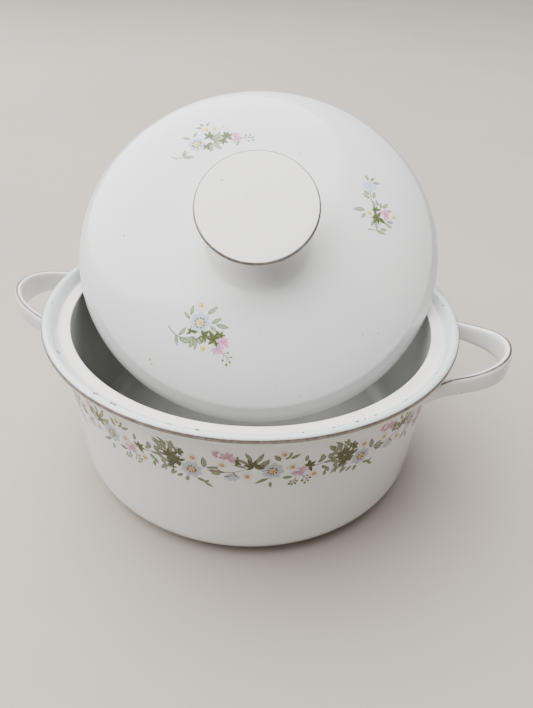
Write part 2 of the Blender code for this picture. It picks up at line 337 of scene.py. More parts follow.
def flipped(faces):
    return [tuple(reversed(face)) for face in faces]


def line_loop(profile, thickness):
    """A closed loop round a line of (radius, height) points, thickness mm to each side."""
    last = len(profile) - 1
    outward = []
    for index in range(len(profile)):
        ahead = profile[min(index + 1, last)] - profile[max(index - 1, 0)]
        outward.append(Vector((-ahead[1], ahead[0])).normalized())
    outer = [p + n * thickness * MM for p, n in zip(profile, outward)]
    inner = [p - n * thickness * MM for p, n in zip(profile, outward)]
    return outer + inner[::-1]


def tube_faces(rings, sides):
    """Faces of a tube made of rings of points, with a cap at each end."""
    faces = []
    for ring in range(rings - 1):
        near, far = ring * sides, (ring + 1) * sides
        for side in range(sides):
            after = (side + 1) % sides
            faces.append((near + side, far + side, far + after, near + after))
    end = (rings - 1) * sides
    return faces + [tuple(range(sides)), tuple(reversed(range(end, end + sides)))]


# Materials

def fill(node, values):
    for socket, value in values.items():
        node.inputs[socket.replace("_", " ")].default_value = value


class Graph:
    """A short way to write a node material."""

    def __init__(self, name):
        self.material = bpy.data.materials.new(name)
        self.material.use_nodes = True
        self.nodes = self.material.node_tree.nodes
        self.links = self.material.node_tree.links
        self.shader = self.nodes["Principled BSDF"]
        self.where = self.nodes.new("ShaderNodeTexCoord").outputs["Object"]

    def link(self, output, node, socket):
        self.links.new(output, node.inputs[socket])

    def add(self, kind, **values):
        """A new node with those socket values; _ stands for a space."""
        node = self.nodes.new("ShaderNode" + kind)
        fill(node, values)
        return node

    def paint(self, colour):
        self.link(colour, self.shader, "Base Color")

    def rough(self, *levels):
        self.link(self.ramp(*levels), self.shader, "Roughness")

    def noise(self, scale, detail=3.0, roughness=0.5, vector=None):
        node = self.add("TexNoise", Scale=scale, Detail=detail, Roughness=roughness)
        self.link(vector or self.where, node, "Vector")
        return node.outputs["Fac"]

    def stretched(self, scales):
        node = self.add("Mapping", Scale=scales)
        self.link(self.where, node, "Vector")
        return node.outputs["Vector"]

    def ramp(self, factor, low, high, value_low=0.0, value_high=1.0):
        node = self.add("MapRange", From_Min=low, From_Max=high, To_Min=value_low,
                        To_Max=value_high)
        node.interpolation_type = "SMOOTHSTEP"
        self.link(factor, node, "Value")
        return node.outputs["Result"]

    def times(self, first, second):
        node = self.add("Math")
        node.operation = "MULTIPLY"
        self.links.new(first, node.inputs[0])
        self.links.new(second, node.inputs[1])
        return node.outputs["Value"]

    def height(self):
        node = self.add("SeparateXYZ")
        self.link(self.where, node, "Vector")
        return node.outputs["Z"]

    def mix(self, factor, first, second):
        node = self.add("Mix")
        node.data_type = "RGBA"
        self.links.new(factor, node.inputs["Factor"])
        for value, socket in ((first, node.inputs[6]), (second, node.inputs[7])):
            if isinstance(value, tuple):
                socket.default_value = (*value, 1.0)
            else:
                self.links.new(value, socket)
        return node.outputs[2]

    def specks(self, scale, size, share, vector=None):
        """1 inside small round specks; share is the part of the cells that hold one."""
        node = self.add("TexVoronoi", Scale=scale, Randomness=1.0)
        self.link(vector or self.where, node, "Vector")
        split = self.add("SeparateColor")
        self.link(node.outputs["Color"], split, "Color")
        inside = self.ramp(node.outputs["Distance"], size * 0.6, size, 1.0, 0.0)
        chosen = self.ramp(split.outputs["Red"], share * 0.98, share, 1.0, 0.0)
        return self.times(inside, chosen)

    def bump(self, height, strength, distance):
        node = self.add("Bump", Strength=strength, Distance=distance)
        self.link(height, node, "Height")
        self.link(node.outputs["Normal"], self.shader, "Normal")

    def set(self, **values):
        fill(self.shader, values)
        return self.material


def glaze(name, white, shade, speck, speck_share, rim=None, gloss=(0.10, 0.19), coat=0.35):
    """Porcelain glaze: cloudy, with a few fired-in specks and a slightly wavy skin.

    rim is (tint, low, high): above those heights the glaze takes the tint and is marked by wear.
    """
    graph = Graph(name)
    clouds = graph.ramp(graph.noise(14.0, 4.0, 0.55), 0.35, 0.70)
    colour = graph.mix(clouds, white, shade)
    if rim:
        tint, low, high = rim
        band = graph.ramp(graph.height(), low, high)
        colour = graph.mix(band, colour, tint)
        marks = graph.specks(210.0, 0.10, 0.040, graph.stretched((1.0, 1.0, 2.4)))
        wear = graph.times(graph.times(band, marks), graph.ramp(graph.noise(45.0), 0.50, 0.56))
        colour = graph.mix(wear, colour, (0.16, 0.19, 0.19))
    colour = graph.mix(graph.specks(120.0, 0.055, speck_share), colour, speck)
    graph.paint(colour)
    graph.rough(graph.noise(60.0, 5.0, 0.6), 0.30, 0.75, *gloss)
    graph.bump(graph.noise(150.0, 3.0, 0.5), 0.10, 0.00012)
    return graph.set(IOR=1.52, Coat_Weight=coat, Coat_Roughness=0.05)


def bare_clay(name, colour_light, colour_dark, stain):
    """Unglazed porcelain body: matt, fine grained, with use stains."""
    graph = Graph(name)
    grain = graph.ramp(graph.noise(900.0, 4.0, 0.7), 0.30, 0.70)
    colour = graph.mix(grain, colour_light, colour_dark)
    stains = graph.noise(26.0, 5.0, 0.6, graph.stretched((1.0, 1.0, 3.0)))
    patches = graph.ramp(stains, 0.52, 0.78, 0.0, 0.55)
    colour = graph.mix(patches, colour, stain)
    graph.paint(colour)
    graph.rough(graph.noise(300.0, 4.0), 0.3, 0.7, 0.42, 0.62)
    graph.bump(graph.noise(1400.0, 4.0, 0.7), 0.25, 0.00008)
    return graph.set(IOR=1.5)


def platinum(name, worn, bright, metal):
    """A thin hand-drawn platinum line, uneven and rubbed, in dark colours that are a painted dark
    reflection of the room.
    """
    graph = Graph(name)
    thin = graph.ramp(graph.noise(380.0, 5.0, 0.65), 0.35, 0.68)
    colour = graph.mix(thin, worn, bright)
    graph.paint(colour)
    graph.rough(graph.noise(220.0, 4.0), 0.3, 0.7, 0.34, 0.50)
    graph.bump(graph.noise(700.0, 3.0), 0.15, 0.00005)
    return graph.set(Metallic=metal, Specular_IOR_Level=0.3)


def transfer(name, light, dark):
    """Printed colour fired into the glaze: watery, uneven, dotted with the print's screen."""
    graph = Graph(name)
    wash = graph.ramp(graph.noise(420.0, 4.0, 0.6), 0.32, 0.68)
    colour = graph.mix(wash, light, dark)
    dots = graph.ramp(graph.noise(2600.0, 2.0), 0.45, 0.60, 0.0, 0.35)
    colour = graph.mix(dots, colour, light)
    graph.paint(colour)
    graph.rough(graph.noise(300.0), 0.3, 0.7, 0.14, 0.24)
    graph.bump(graph.noise(900.0), 0.08, 0.00004)
    return graph.set(IOR=1.52, Specular_IOR_Level=0.28, Coat_Weight=0.12, Coat_Roughness=0.08)


# Printed decoration

# A patch stands higher with its level, and by a little more than the patch drawn before it, so
# that the two don't share a height. After LAYERS patches that starts again. The back of a patch
# lies below the surface.
LIFT = 0.040 * MM
LEVEL = 0.018 * MM
LAYER = 0.0012 * MM
LAYERS = 14
SINK = 0.050 * MM
LEAF, PETAL, SHADE, CENTRE, DOT = range(5)


def on_lid(x, y, height, lean):
    """Point and outward normal on the tilted lid, for a place, height and lean in its own frame."""
    normal = (Vector((0.0, 0.0, 1.0)) - lean).normalized()
    return LID_PLACE @ Vector((x, y, height)), (LID_PLACE.to_3x3() @ normal).normalized()


def on_dome(x, y):
    """Point and outward normal on the lid's dome, for a place in plan."""
    radius = hypot(x, y)
    height, slope = at_radius(DOME, radius)
    return on_lid(x, y, height, slope * (Vector((x, y, 0.0)) / max(radius, 1e-9)))


def on_knob(x, y):
    """Point and outward normal on the knob's top, for a place in plan."""
    radius = hypot(x, y)
    height, slope = at_radius(KNOB_TOP, radius)
    return on_lid(x, y, height, slope * Vector((x, y, 0.0)) / max(radius, 1e-9))


def on_wall(x, y):
    """Point and outward normal on the bowl's wall, for a length round it and a height."""
    taper = (COVE_FOOT[0] - WALL_RADIUS_AT_BASE) / (COVE_FOOT[1] - BASE_HEIGHT)
    angle = x / GARLAND_RADIUS
    outward = Vector((cos(angle), sin(angle), 0.0))
    place = outward * (WALL_RADIUS_AT_BASE + taper * (y - BASE_HEIGHT))
    place.z = y
    return place, (outward - Vector((0.0, 0.0, taper))).normalized()


class Print:
    """Thin closed patches laid on a surface, gathered by colour.

    A drawing is in millimetres about an origin.
    """

    def __init__(self, surface, seed):
        self.surface = surface
        self.origin = (0.0, 0.0)
        self.turn = 0.0
        self.meshes = {}
        self.count = 0
        self.chance = random.Random(seed)
        self.vary = self.chance.uniform

    def start(self, x, y, turn=0.0):
        self.origin = (x, y)
        self.turn = radians(turn)

    def patch(self, colour, points, faces, level):
        verts, normals, polygons = self.meshes.setdefault(colour, ([], [], []))
        base = len(verts)
        count = len(points)
        self.count += 1
        lift = LIFT + LEVEL * level + LAYER * (self.count % LAYERS)
        turn_x, turn_y = cos(self.turn), sin(self.turn)
        for depth in (lift, -SINK):
            for x, y in points:
                flat_x = self.origin[0] + MM * (x * turn_x - y * turn_y)
                flat_y = self.origin[1] + MM * (x * turn_y + y * turn_x)
                place, normal = self.surface(flat_x, flat_y)
                verts.append(place + normal * depth)
                normals.append(normal)
        open_edges = {}
        for face in faces:
            polygons.append([base + i for i in face])
            polygons.append([base + count + i for i in reversed(face)])
            for a, b in zip(face, face[1:] + face[:1]):
                if (b, a) in open_edges:
                    del open_edges[(b, a)]
                else:
                    open_edges[(a, b)] = True
        for a, b in open_edges:
            polygons.append([base + b, base + a, base + count + a, base + count + b])

    def blade(self, colour, x, y, angle, length, width, bend=0.0, fullness=0.85, half=False,
              level=LEAF):
        """A leaf or petal from its stem at (x, y). half makes only its left side."""
        steps = 7
        heading = radians(angle)
        ahead = (cos(heading), sin(heading))
        left = (-ahead[1], ahead[0])
        rows = []
        for step in range(steps + 1):
            t = step / steps
            reach = 0.0
            if 0 < step < steps:
                reach = 0.5 * width * sin(pi * t ** fullness) ** 0.85
            curve = bend * length * (t * t - 0.3 * t)
            middle = (x + ahead[0] * t * length + left[0] * curve,
                      y + ahead[1] * t * length + left[1] * curve)
            rows.append((middle, reach))
        points = [rows[0][0]]
        spans = (1, 0) if half else (1, 0, -1)
        for middle, reach in rows[1:-1]:
            for span in spans:
                points.append((middle[0] + left[0] * reach * span,
                               middle[1] + left[1] * reach * span))
        points.append(rows[-1][0])
        wide = len(spans)
        faces = []
        last = len(points) - 1
        for column in range(wide - 1):
            faces.append([0, 2 + column, 1 + column])
            for row in range(steps - 2):
                near = 1 + row * wide + column
                far = near + wide
                faces.append([near, near + 1, far + 1, far])
            near = 1 + (steps - 2) * wide + column
            faces.append([near, near + 1, last])
        self.patch(colour, points, faces, level)

    def disc(self, colour, x, y, radius, lobes=0, depth=0.0, sides=14, level=DOT):
        count = max(sides, lobes * 4)
        spin = self.chance.random() * 6.28
        points = [(x, y)]
        for share in (0.55, 1.0):
            for step in range(count):
                angle = tau * step / count
                wave = 1.0 - depth * share * (0.5 - 0.5 * cos(lobes * angle + spin))
                reach = radius * share * wave
                points.append((x + reach * cos(angle), y + reach * sin(angle)))
        faces = []
        for step in range(count):
            after = (step + 1) % count
            faces.append([0, 1 + step, 1 + after])
            faces.append([1 + step, 1 + count + step, 1 + count + after, 1 + after])
        self.patch(colour, points, faces, level)

    def stroke(self, colour, path, width):
        """A tapering line through three points or more."""
        fine = []
        for index in range(len(path) - 1):
            before = path[max(index - 1, 0)]
            after = path[min(index + 2, len(path) - 1)]
            a, b = path[index], path[index + 1]
            out = (a[0] + (b[0] - before[0]) / 6.0, a[1] + (b[1] - before[1]) / 6.0)
            into = (b[0] - (after[0] - a[0]) / 6.0, b[1] - (after[1] - a[1]) / 6.0)
            fine += ([Vector(a)] if not fine else []) + bezier(a, out, into, b, 5)
        points = []
        for index, point in enumerate(fine):
            ahead = fine[min(index + 1, len(fine) - 1)] - fine[max(index - 1, 0)]
            left = Vector((-ahead[1], ahead[0])).normalized()
            share = index / (len(fine) - 1)
            half = 0.5 * width * (1.0 - 0.55 * share)
            points.append(tuple(point + left * half))
            points.append(tuple(point - left * half))
        faces = [[2 * i, 2 * i + 1, 2 * i + 3, 2 * i + 2] for i in range(len(fine) - 1)]
        self.patch(colour, points, faces, LEAF)

    def leaf(self, x, y, angle, length=5.5, width=2.0, bend=0.12):
        """A pointed leaf: dark outline, pale inside and a dark vein."""
        angle += self.vary(-4.0, 4.0)
        heading = radians(angle)
        inset = 0.10 * length
        inner = (x + inset * cos(heading), y + inset * sin(heading))
        self.blade("sage_deep", x, y, angle, length, width, bend)
        self.blade("sage", *inner, angle, length * 0.78, width * 0.60, bend, level=PETAL)
        self.blade("vein", x, y, angle, length * 0.80, 0.30, bend, level=SHADE)

    def ivy(self, x, y, angle, size=3.0, lobes=5):
        """A dark cluster of narrow pointed leaflets round one place."""
        for index in range(lobes):
            spread = angle + (index - (lobes - 1) / 2) * 50.0 + self.vary(-10.0, 10.0)
            reach = size * self.vary(0.85, 1.25)
            bend = self.vary(-0.15, 0.15)
            self.blade("olive", x, y, spread, reach, reach * 0.44, bend, 0.78)
            self.blade("olive_deep", x, y, spread, reach * 0.9, reach * 0.40, bend, 0.78,
                       half=True, level=PETAL)

    def daisy(self, x, y, radius=2.5):
        self.disc("daisy_line", x, y, radius * 1.06, lobes=9, depth=0.14, level=PETAL)
        self.disc("white", x, y, radius * 0.98, lobes=9, depth=0.14, level=SHADE)
        self.disc("yellow", x, y, radius * 0.56, sides=12, level=CENTRE)
        self.disc("gold", x + 0.12 * radius, y - 0.14 * radius, radius * 0.28, sides=8)

    def blue_flower(self, x, y, radius=5.4, eye=0.37):
        self.disc("blue", x, y, radius, lobes=8, depth=0.24, level=PETAL)
        for index in range(18):
            angle = index * 20.0 + self.vary(-5.0, 5.0)
            reach = radius * self.vary(0.30, 0.46)
            heading = radians(angle)
            foot_x = x + 0.42 * radius * cos(heading)
            foot_y = y + 0.42 * radius * sin(heading)
            self.blade("blue_deep", foot_x, foot_y, angle, reach, 0.42, level=SHADE)
        self.disc("yellow", x, y, radius * eye, lobes=7, depth=0.10, level=CENTRE)
        self.disc("gold", x + 0.3, y - 0.3, radius * 0.15, sides=10)
        for index in range(9):
            heading = radians(index * 40.0 + self.vary(0.0, 12.0))
            reach = radius * self.vary(eye + 0.04, eye + 0.09)
            dot_x, dot_y = x + reach * cos(heading), y + reach * sin(heading)
            self.disc("olive", dot_x, dot_y, 0.50, sides=8)

    def bluebell(self, x, y, angle, size=6.2):
        """A pale blue flower seen from the side."""
        for index in range(4):
            spread = angle + (index - 1.5) * 27.0
            reach = size * (1.0 - 0.08 * abs(index - 1.5))
            self.blade("blue", x, y, spread, reach, size * 0.50, 0.0, 1.35, level=PETAL)
        self.blade("blue_deep", x, y, angle + 6.0, size * 0.7, 0.5, 0.1, level=SHADE)
        self.blade("blue_deep", x, y, angle - 22.0, size * 0.6, 0.4, -0.1, level=SHADE)

    def pink_flower(self, x, y, angle, size=4.4):
        for index in range(6):
            spread = angle + (index - 2.5) * 40.0 + self.vary(-6.0, 6.0)
            reach = size * self.vary(0.82, 1.08)
            self.blade("pink", x, y, spread, reach, reach * 0.46, 0.0, 1.1, level=PETAL)
            self.blade("pink_deep", x, y, spread + 4.0, reach * 0.72, 0.42, level=SHADE)

    def berries(self, x, y, angle, size=6.5):
        """A thin branched spray with round buds."""
        heading = radians(angle)
        ahead = Vector((cos(heading), sin(heading)))
        left = Vector((-ahead[1], ahead[0]))
        foot = Vector((x, y))
        tip = foot + ahead * size
        middle = foot + ahead * size * 0.5 + left * 0.3
        self.stroke("twig", [tuple(foot), tuple(middle), tuple(tip)], 0.40)
        self.disc("bud", tip[0], tip[1], 0.55, sides=8)
        for share, side in ((0.25, 1), (0.40, -1), (0.60, 1), (0.75, -1)):
            fork = foot + ahead * size * share
            end = fork + ahead * size * 0.22 + left * side * size * 0.28
            self.stroke("twig", [tuple(fork), tuple(fork.lerp(end, 0.5)), tuple(end)], 0.32)
            self.disc("bud", end[0], end[1], self.vary(0.48, 0.68), sides=8)


def draw_each(draw, *items):
    """Calls draw with each item in turn."""
    for item in items:
        draw(*item)


def front_sprig(art):
    art.start(-0.0242, -0.0528)
    art.stroke("twig", [(-15.5, -2), (-12.8, -5.2), (-8.5, -7.5), (-3, -7)], 0.60)
    draw_each(
        art.leaf, (-11.4, -6, -84, 5.5, 1.7), (-10, -6.4, 44, 5.4, 1.9),
        (-9.8, -7.4, -32, 6.4, 2.4), (-4.9, 3.6, 76, 5.2, 1.9), (-5.2, 1.6, 127, 4.8, 1.7),
        (3.4, 4.6, 34, 6.2, 2.1), (5.5, 0, 27, 5.8, 2.1), (8, -0.6, -15, 6.6, 2.1),
        (5.2, -1.4, -44, 4.7, 1.7), (-2.8, -7, -104, 5, 2.2),
    )
    art.blue_flower(0, 0)
    art.daisy(-0.2, 8.8, 2.6)
    draw_each(
        art.leaf, (-2.2, -6.8, -152, 5.6, 2), (-2, -7, -122, 5.8, 2), (-1.4, -7.2, -94, 6.2, 2.1),
        (-0.8, -7, -64, 5.2, 1.8), (0.4, -6.6, -46, 4.6, 1.7),
    )
    draw_each(
        art.ivy, (-3.8, -4.6, 100, 3, 5), (2.2, -6.4, -30, 3.4, 6), (7.6, -7.6, 20, 4.7, 7),
        (10.2, -6, 40, 3, 4),
    )
    art.daisy(2.4, -12.4, 2.6)
    art.pink_flower(11.8, -9.2, 60, 3.7)
    art.pink_flower(9.4, -11.8, -60, 3.8)
    art.berries(10.8, -12.8, -46, 7.4)


def back_sprig(art):
    art.start(-0.0361, 0.0468)
    art.stroke("twig", [(-12.5, -8.2), (-9.8, -9.6), (-6.6, -8.5), (-3.6, -4.8)], 0.60)
    draw_each(
        art.leaf, (-6.2, -8.6, -4, 5.8, 2), (-6.6, -8, 72, 4.2, 1.7), (-4, 3.4, 160, 4.6, 1.7),
        (-2.5, 5, 60, 3.8, 1.7), (1.4, 11.2, 176, 3.4, 1.5), (2.2, 12.6, 138, 3.2, 1.5),
        (3.6, 12.6, 68, 3.6, 1.6), (8.6, 2.4, 64, 6, 1.9), (8.9, 2.1, 38, 5.4, 1.9),
        (9, 1.8, -8, 5.4, 1.9), (8.9, 1.4, -46, 6.8, 2.2), (8.4, 1.2, -98, 6.2, 2),
    )
    art.blue_flower(0, 0, 5)
    art.daisy(4, 10.2)
    art.daisy(8.3, 10.6)
    draw_each(art.leaf, (7.6, 5, 20, 4.8, 1.8), (7, 0.2, -70, 5, 1.8), (10.6, 4.6, 74, 4.8, 1.7))
    draw_each(
        art.ivy, (6.4, 5.2, 70, 3.4, 6), (5.4, -0.8, -70, 3, 5), (15.6, 5.6, 100, 4.2, 6),
        (14, 3, 250, 2.8, 4),
    )
    art.pink_flower(19.8, 5.2, 20, 4.4)
    art.leaf(22.6, 2.6, -118, 3.2, 1.4)
    art.berries(22.8, 4.2, 12, 7)


def side_sprig(art):
    art.start(0.0607, 0.0106)
    art.stroke("twig", [(-4.2, 15.4), (-3.6, 10.4), (-1.6, 5.4), (0.2, 0.6)], 0.50)
    art.stroke("twig", [(-4.8, -7.6), (-2.4, -7.6), (-0.2, -7.2), (1.8, -3.4)], 0.55)
    draw_each(
        art.leaf, (-5.3, 21.2, 108, 3.4, 1.6), (-4.2, 21, 42, 3.4, 1.6),
        (-2.6, 20.2, -8, 3.9, 1.6), (-4.6, 12.6, 140, 3.6, 1.6), (-4.4, 10.2, 144, 4.6, 1.7),
        (-2.3, 10.6, 80, 4, 1.8), (-1.8, 5.6, 98, 3.6, 1.6), (0.2, 6.4, 104, 3.6, 1.5),
        (1.8, 5.4, 88, 3.2, 1.5), (2.8, 5.8, 40, 3.9, 2), (4.7, 4.2, 6, 2.8, 1.5),
        (-6.6, 3.2, 178, 5.9, 2.4), (-6.2, 1.2, -130, 3.6, 1.8), (5, -1.8, -10, 3.6, 1.6),
        (4.4, -2.8, -46, 4.2, 1.7), (-0.8, -2.8, -84, 4.2, 1.6), (-0.2, -7.7, -24, 4.8, 1.9),
        (1.7, -6.2, -16, 3.6, 1.5),
    )
    art.bluebell(-4, 20.4, -96)
    art.leaf(-2.4, 2, 214, 4.4, 1.7)
    art.leaf(-1.2, -1.6, -120, 4.6, 1.8)
    art.ivy(-0.8, 3.4, 130, 3.2, 5)
    art.ivy(0.2, -0.2, 200, 4.2, 6)
    art.pink_flower(3.6, 1.6, 30, 4.4)
    art.daisy(-4.2, 1.7)
    art.daisy(8.4, 1.4)


GARLAND_RADIUS = 0.0960
GARLAND_REPEATS = 8
GARLAND_FIRST = radians(-93.0)


def garland_repeat(art, start):
    """One repeat of the bowl's garland, about 75 mm long, drawn from a height of 60 mm."""
    art.start(start, 0.0600)
    art.stroke("twig", [(-14, 9), (-8, 6.5), (-2, 5.6)], 0.45)
    art.stroke("twig", [(9, 4), (14, 1.2), (20, 2.2), (26, 5.5)], 0.45)
    art.stroke("twig", [(40, 4), (48, 2.6), (57, 3.6), (66, 4.5)], 0.45)
    draw_each(
        art.leaf, (-13.5, 8.8, 138, 5.2, 1.7), (-11, 8, 120, 5.2, 1.8), (-8.6, 7.4, 102, 4.6, 1.7),
        (-12, 5.4, 196, 5, 1.6), (-10.6, 11.2, 142, 5.6, 1.3), (-13.8, 10.8, 146, 4.8, 1.2),
        (-7.6, 10.4, 132, 4.6, 1.3), (-5.2, 8, 128, 5, 1.5), (-2.8, 8.8, 142, 4.2, 1.2),
        (-15, 3.4, 176, 4.2, 1.5), (-9.4, -0.8, 214, 4.4, 1.2), (-6.8, -3.6, 222, 4, 1.1),
        (-9.5, 2.4, 204, 5.4, 1.9), (-6.6, -1.2, 190, 4.4, 1.5), (-4, -4.4, -150, 3.8, 1.6),
        (2.2, -4.8, -24, 4.6, 1.8), (5, -7, 32, 3.4, 1.3), (5.6, -6.8, -40, 4.4, 1.4),
        (-1.6, -4.8, -112, 3.6, 2), (5.4, 2.4, 92, 6.4, 2.6), (7, 1.4, -10, 7.6, 2),
        (6.2, 2.6, 8, 6.8, 1.5), (12.4, -0.4, 176, 4.2, 1.7), (17.6, 1.4, -58, 4.6, 1.3),
        (13.8, -1.6, 10, 4.4, 1.6), (24.2, 6.8, 150, 6.6, 1.7), (23.4, 4.4, 158, 6, 1.4),
        (25.4, 8.4, 116, 5.8, 1.9), (27, 7.6, 56, 6.8, 2.1), (28, 5.8, 34, 6.4, 1.9),
        (29.8, 4.4, 52, 5.4, 1.5), (32.8, -1.8, -152, 6.8, 1.7), (33.6, -4.2, -92, 3.8, 1.6),
        (37.2, 8.4, 120, 4.6, 2.2), (39.4, 9.2, 52, 4.8, 1.9), (41.4, 9.4, 24, 4.6, 1.7),
        (38.6, -2, -6, 4.6, 2), (48.2, 6.4, 84, 4, 1.8), (53.6, 4.4, 38, 4.6, 2),
        (55.8, 5, 92, 4.2, 2.6), (60, 4.6, 104, 4.2, 2.6), (58, 0.6, -70, 3.8, 2),
        (61.4, 1.4, -58, 3.8, 1.8), (62.6, -1.6, -84, 3.4, 1.5), (64.2, 9.4, 120, 4.6, 1.9),
        (67.4, 9.8, 98, 4.8, 1.9), (63, 7, 160, 4.4, 1.9), (59.8, 3.8, -34, 4.2, 2),
        (55.8, 2, -50, 4.6, 1.8), (60.6, 6.4, 70, 4.4, 2.2), (63.6, -1, -128, 5, 1.7),
        (67.2, -2.4, -116, 4.6, 1.6), (57.6, -1.6, -96, 3.6, 1.6),
    )
    art.blue_flower(0, 0, 5.2, 0.29)
    art.daisy(0.6, 7.2, 2.3)
    art.ivy(-6, 3.4, 150, 3.7, 6)
    art.ivy(-8.8, 0.6, 190, 3, 4)
    art.pink_flower(15.4, 9.4, 70, 4.6)
    art.pink_flower(11, 11.6, 160, 2.6)
    art.daisy(13, 5.4, 2.2)
    art.ivy(18.6, 8, 0, 3.2, 4)
    art.bluebell(17.2, 0.8, -86, 5.4)
    art.daisy(23.6, -0.6, 2.4)
    art.ivy(26.4, 5.6, 96, 4.3, 6)
    art.blue_flower(34.2, 2.6, 5.2, 0.29)
    art.daisy(38.6, 12.2, 2.2)
    art.daisy(42.6, 4.2, 2.2)
    art.pink_flower(45.4, 1.2, -60, 4)
    art.ivy(50, 3.2, 40, 3.4, 5)
    art.daisy(52.6, -2.2, 2.2)
    art.berries(46.6, -1.4, -52, 6)
    art.berries(44.4, -2.6, -108, 4.6)
    draw_each(art.ivy, (65.6, 5.4, 120, 4.4, 6), (67.8, 2.6, 250, 3.6, 5), (69.4, 8.2, 40, 3.2, 4))


def on_lip(x, y):
    """Point and outward normal on the lip, for a length round it and one in from its crest."""
    angle = x / LIP_CREST[0]
    left = max(0.0, y)
    index = 0
    while index < len(LIP) - 2 and left > (LIP[index + 1] - LIP[index]).length:
        left -= (LIP[index + 1] - LIP[index]).length
        index += 1
    upper, lower = LIP[index], LIP[index + 1]
    spot = upper.lerp(lower, min(1.0, left / (lower - upper).length))
    slope = (upper - lower).normalized()
    outward = Vector((cos(angle), sin(angle), 0.0))
    place = outward * spot[0]
    place.z = spot[1]
    return place, (Vector((0.0, 0.0, 1.0)) * slope[0] - outward * slope[1]).normalized()


# Angle round the lip in degrees, then distance in from its crest, length and width in millimetres.
RIM_RUBS = (
    (-139.0, 3.0, 2.6, 2.2), (-117.0, 0.9, 2.6, 2.8), (-111.0, 0.7, 4.0, 2.8),
    (-90.0, 0.7, 1.9, 2.4), (-67.0, 0.6, 1.1, 1.6), (-60.0, 0.7, 1.3, 1.6), (-54.0, 0.7, 1.6, 1.9),
    (-52.0, 1.0, 1.0, 1.3), (-49.0, 1.2, 1.6, 1.8), (-39.0, 1.4, 1.4, 1.6),
    (-24.0, 1.6, 1.1, 1.2), (13.0, 2.6, 1.4, 1.1),
    (38.0, 1.8, 2.4, 1.0), (152.0, 2.0, 1.8, 1.0), (171.0, 2.6, 2.6, 1.0),
)


# Places of the scuffs on the knob's top from its middle, and their sizes, in millimetres.
KNOB_SCUFFS = (
    (1.2, 1.6, 0.55), (-17.0, -0.8, 0.60), (-20.0, -4.0, 0.45), (-14.2, -8.0, 0.55),
    (-9.6, 15.4, 0.50), (-4.6, 4.6, 0.40), (0.4, -18.6, 0.50), (-7.4, -14.2, 0.50),
)


def draw_knob_marks(art):
    """One dark chip and a few faint scuffs on the knob's top."""
    art.start(0.0, 0.0)
    art.disc("mark", -17.6, 12.0, 0.42, lobes=5, depth=0.30, level=CENTRE)
    for x, y, size in KNOB_SCUFFS:
        art.blade("scuff", x, y, art.vary(40.0, 120.0), 2.6 * size, size)


def draw_rim_marks(art):
    """Short dark rubs where the lid and hands have worn the glaze of the lip."""
    for degrees, inwards, length, width in RIM_RUBS:
        art.start(radians(degrees) * LIP_CREST[0], inwards * MM)
        for share in (0.0, 0.45):
            art.blade("mark", -0.5 * length + share * length, art.vary(-0.2, 0.2),
                      art.vary(-24.0, 24.0), length * (0.6 if share else 0.75),
                      width * art.vary(0.6, 1.0))
    for index in range(26):
        angle = art.vary(0.0, tau)
        art.start(angle * LIP_CREST[0], art.vary(0.0004, 0.0034))
        for step in range(art.chance.randint(1, 4)):
            along_rim = art.vary(-1.6, 1.6)
            length = art.vary(0.5, 1.5)
            art.blade("mark", along_rim, art.vary(-0.2, 0.3),
                      art.vary(-14.0, 14.0), length, art.vary(0.22, 0.46))


# The larger specks on the lid: place in plan from its middle, and radius, in millimetres.
LID_SPECKS = (
    (-68.0, -8.0, 0.62), (-48.0, -71.0, 0.60), (-47.0, -73.0, 0.42), (-24.0, -14.0, 0.50),
    (-23.0, 59.0, 0.50), (13.0, 63.0, 0.34), (25.0, 54.0, 0.32), (38.0, 60.0, 0.38),
    (27.0, -84.0, 0.36),
)


def draw_lid_specks(art):
    """Brown specks fired into the lid's glaze."""
    art.start(0.0, 0.0)
    for x, y, size in LID_SPECKS:
        art.disc("speck", x, y, size, lobes=3, depth=0.3, sides=9, level=LEAF)
    for index in range(14):
        angle = art.vary(0.0, tau)
        reach = 90.0 * sqrt(art.vary(0.10, 0.98))
        size = art.vary(0.16, 0.46)
        x, y = reach * cos(angle), reach * sin(angle)
        art.disc("speck", x, y, size, lobes=3, depth=0.3, sides=9, level=LEAF)
        if index % 4 == 0:
            art.disc("speck", x + 1.3, y + 0.8, size * 0.5, sides=7, level=LEAF)


